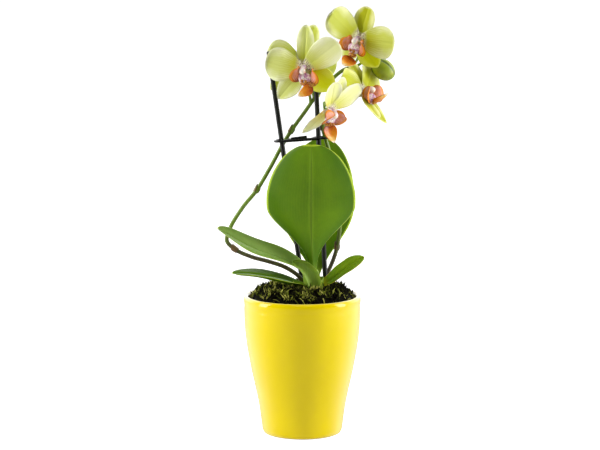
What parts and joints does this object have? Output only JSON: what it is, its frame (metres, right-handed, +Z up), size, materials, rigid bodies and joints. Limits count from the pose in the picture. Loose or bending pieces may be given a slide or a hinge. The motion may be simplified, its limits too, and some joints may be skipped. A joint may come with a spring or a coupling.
{
  "type": "potted orchid",
  "caption": "Moth orchid in a glazed tapering pot, with broad leaves, moss over bark, and arching flower stems with yellow-green flowers clipped to plastic stakes.",
  "frame": {"origin": "centre of the pot's flat foot, on the surface it stands on", "axes": "+Z up along the pot's axis; the largest leaf and the flowers face -Y; +X is to the viewer's right"},
  "size_m": [0.164, 0.109, 0.3971],
  "materials": {
    "pot_glaze": "glossy yellow glaze",
    "grow_pot_plastic": "thin smoky grey plastic",
    "bark": "loose bark chips",
    "moss": "dry olive and brown moss strands",
    "root": "matt green stem with pale roots",
    "stake_plastic": "black plastic",
    "clip_plastic": "blue-black plastic",
    "flower_stem": "satin olive green, browner low down",
    "bud": "satin green with grooves",
    "leaf": "waxy satin green with a pale midrib and margin",
    "tepal": "soft pale yellow-green with cream margins",
    "lip": "orange and pink-mauve with a cream tip",
    "column": "white flushed with lilac"
  },
  "bodies": {
    "root": {"cover_pot": "pot_glaze", "grow_pot": "grow_pot_plastic", "bark_mix": "bark", "moss_cushion": "moss", "plant_stem_and_roots": "root", "stake_left": "stake_plastic", "stake_right": "stake_plastic", "stake_clip": "clip_plastic", "flower_stem_left": "flower_stem", "flower_stem_right": "flower_stem", "bud": "bud", "leaf_front": "leaf", "leaf_back": "leaf", "leaf_left_long": "leaf", "leaf_left_low": "leaf", "leaf_right_short": "leaf", "flower_left_dorsal_sepal": "tepal", "flower_left_left_sepal": "tepal", "flower_left_right_sepal": "tepal", "flower_left_left_petal": "tepal", "flower_left_right_petal": "tepal", "flower_left_lip": "lip", "flower_left_column": "column", "flower_top_dorsal_sepal": "tepal", "flower_top_left_sepal": "tepal", "flower_top_right_sepal": "tepal", "flower_top_left_petal": "tepal", "flower_top_right_petal": "tepal", "flower_top_lip": "lip", "flower_top_column": "column", "flower_low_dorsal_sepal": "tepal", "flower_low_left_sepal": "tepal", "flower_low_right_sepal": "tepal", "flower_low_left_petal": "tepal", "flower_low_right_petal": "tepal", "flower_low_lip": "lip", "flower_low_column": "column", "flower_right_dorsal_sepal": "tepal", "flower_right_left_sepal": "tepal", "flower_right_right_sepal": "tepal", "flower_right_left_petal": "tepal", "flower_right_right_petal": "tepal", "flower_right_lip": "lip", "flower_right_column": "column", "flower_rear_dorsal_sepal": "tepal", "flower_rear_left_sepal": "tepal", "flower_rear_right_sepal": "tepal", "flower_rear_left_petal": "tepal", "flower_rear_right_petal": "tepal", "flower_rear_lip": "lip", "flower_rear_column": "column"}
  },
  "joints": []
}
